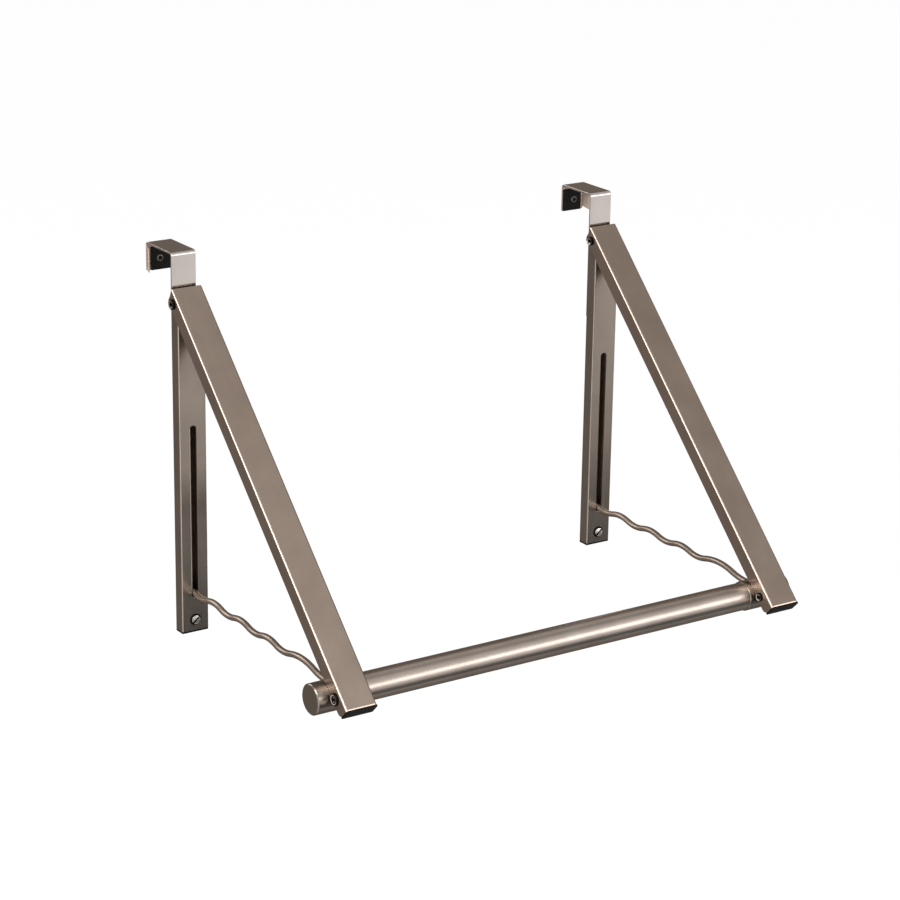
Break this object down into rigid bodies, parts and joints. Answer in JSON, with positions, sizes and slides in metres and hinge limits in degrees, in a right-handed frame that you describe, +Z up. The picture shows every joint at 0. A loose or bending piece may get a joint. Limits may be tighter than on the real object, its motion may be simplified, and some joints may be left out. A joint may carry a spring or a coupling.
{
  "type": "over-the-door clothing rack",
  "caption": "Over-the-door clothing rack: slotted uprights hang from flat hooks and carry hinged channel arms, wavy wire braces and one round hanging rod that folds flat.",
  "frame": {"origin": "on the door's front top edge, midway between the two brackets", "axes": "+X along the rod towards the right bracket, +Y into the door so that -Y is the room side, +Z up"},
  "size_m": [0.5006, 0.3458, 0.3493],
  "materials": {
    "bronze_steel": "satin bronze plating",
    "polished_steel": "polished nickel plating",
    "dark_bronze_steel": "dark satin plating",
    "zinc_steel": "bright zinc plating",
    "rubber_pad": "matte",
    "black_plastic": "satin moulded"
  },
  "bodies": {
    "brackets": {"left_hook": "polished_steel", "right_hook": "polished_steel", "left_hook_pad": "rubber_pad", "right_hook_pad": "rubber_pad", "left_hook_pad_rivet": "zinc_steel", "right_hook_pad_rivet": "zinc_steel", "left_strap_rivets": "zinc_steel", "right_strap_rivets": "zinc_steel", "left_upright": "bronze_steel", "right_upright": "bronze_steel", "left_upright_plug": "black_plastic", "right_upright_plug": "black_plastic", "left_upright_screw": "zinc_steel", "right_upright_screw": "zinc_steel", "left_door_pad": "rubber_pad", "right_door_pad": "rubber_pad", "left_pivot_bolt": "dark_bronze_steel", "right_pivot_bolt": "dark_bronze_steel", "left_pivot_nut": "dark_bronze_steel", "right_pivot_nut": "dark_bronze_steel", "left_pivot_bush": "zinc_steel", "right_pivot_bush": "zinc_steel", "left_pivot_washers": "zinc_steel", "right_pivot_washers": "zinc_steel"},
    "arms": {"left_arm": "bronze_steel", "right_arm": "bronze_steel", "left_end_block": "black_plastic", "right_end_block": "black_plastic", "left_brace_bolt": "dark_bronze_steel", "right_brace_bolt": "dark_bronze_steel", "left_brace_nut": "dark_bronze_steel", "right_brace_nut": "dark_bronze_steel", "left_rod_end": "bronze_steel", "right_rod_end": "bronze_steel", "left_rod_end_screws": "zinc_steel", "right_rod_end_screws": "zinc_steel", "rod": "bronze_steel"},
    "left_brace": {"left_brace": "bronze_steel"},
    "right_brace": {"right_brace": "bronze_steel"}
  },
  "joints": [
    {"name": "fold", "type": "hinge", "parent": "brackets", "child": "arms", "pos_m": [0, -0.008, -0.0422], "axis": [1, 0, 0], "range_deg": [0, 41]},
    {"name": "left_brace_swing", "type": "hinge", "parent": "arms", "child": "left_brace", "pos_m": [-0.2235, -0.28029, -0.31283], "axis": [1, 0, 0], "range_deg": [0, 42.75]},
    {"name": "right_brace_swing", "type": "hinge", "parent": "arms", "child": "right_brace", "pos_m": [0.2235, -0.28029, -0.31283], "axis": [1, 0, 0], "range_deg": [0, 42.75]}
  ],
  "couplings": [
    {"joint": "left_brace_swing", "follows": "fold", "ratio": 1.0415},
    {"joint": "right_brace_swing", "follows": "fold", "ratio": 1.0415}
  ]
}
